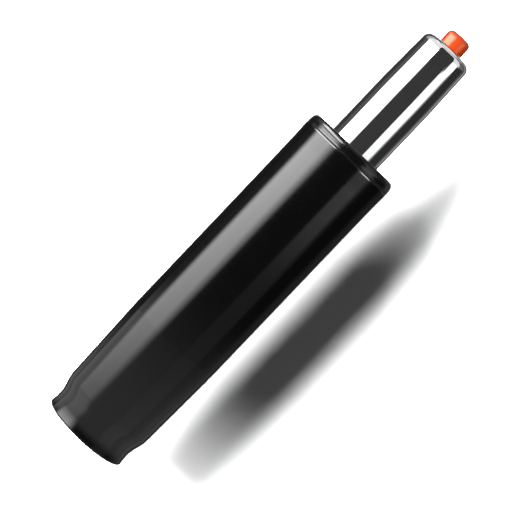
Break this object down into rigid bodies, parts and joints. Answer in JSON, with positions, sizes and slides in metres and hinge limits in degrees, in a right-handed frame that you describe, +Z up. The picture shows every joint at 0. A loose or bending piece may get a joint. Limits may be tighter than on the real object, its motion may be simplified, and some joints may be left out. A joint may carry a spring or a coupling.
{
  "type": "chair gas lift cylinder",
  "caption": "Chair gas lift: black tapered column with a chromed pressure tube that rises from its guide bush, swivels on a thrust bearing and is released by an orange top button.",
  "frame": {"origin": "centre of the rim of the column's foot, on the surface the lift stands on", "axes": "+Z up along the cylinder's axis, from the foot towards the release button"},
  "size_m": [0.0506, 0.0506, 0.255],
  "materials": {
    "column_coat": "satin black coat on steel tube",
    "bush_plastic": "moulded black plastic",
    "tube_chrome": "bright hard chrome",
    "button_plastic": "moulded orange plastic",
    "plate_steel": "zinc plated steel plate",
    "race_steel": "hardened and ground",
    "ball_steel": "polished bearing steel",
    "cage_brass": "pressed brass",
    "rod_steel": "ground steel",
    "buffer_rubber": "black rubber",
    "washer_zinc": "zinc plated",
    "clip_steel": "blackened spring steel",
    "piston_aluminium": "turned",
    "seal_rubber": "black nitrile rubber",
    "inner_steel": "drawn steel tube",
    "guide_plastic": "natural acetal",
    "valve_brass": "turned brass",
    "plug_plastic": "moulded black plastic",
    "pin_steel": "ground steel pin"
  },
  "bodies": {
    "column": {"column_tube": "column_coat", "guide_bush": "bush_plastic", "base_plate": "plate_steel", "bearing_race_lower": "race_steel"},
    "ball_cage": {"ball_cage": "cage_brass", "bearing_balls": "ball_steel"},
    "rod": {"piston_rod": "rod_steel", "bearing_race_upper": "race_steel", "rubber_buffer": "buffer_rubber", "buffer_washer": "washer_zinc", "clip_washer": "washer_zinc", "retaining_clip": "clip_steel", "piston": "piston_aluminium", "piston_seal": "seal_rubber", "piston_washer": "washer_zinc", "piston_nut": "washer_zinc"},
    "lift": {"pressure_tube": "tube_chrome", "inner_tube": "inner_steel", "seal_washer": "washer_zinc", "rod_seal": "seal_rubber", "rod_guide": "guide_plastic", "valve_body": "valve_brass", "valve_body_seal": "seal_rubber", "inner_tube_seal": "seal_rubber", "valve_seat_seal": "seal_rubber", "pin_seal": "seal_rubber", "gland_washer": "washer_zinc", "button_guide": "plug_plastic"},
    "release": {"release_button": "button_plastic", "valve_pin": "pin_steel"}
  },
  "joints": [
    {"name": "swivel", "type": "hinge", "parent": "column", "child": "rod", "pos_m": [0, 0, 0.0179], "axis": [0, 0, 1], "continuous": true},
    {"name": "bearing_roll", "type": "hinge", "parent": "column", "child": "ball_cage", "pos_m": [0, 0, 0.0179], "axis": [0, 0, 1], "continuous": true},
    {"name": "lift_stroke", "type": "slide", "parent": "rod", "child": "lift", "axis": [0, 0, 1], "range_m": [0, 0.1]},
    {"name": "release_press", "type": "slide", "parent": "lift", "child": "release", "axis": [0, 0, -1], "range_m": [0, 0.0045], "stiffness_N_per_m": 4000}
  ],
  "couplings": [
    {"joint": "bearing_roll", "follows": "swivel", "ratio": 0.5}
  ]
}
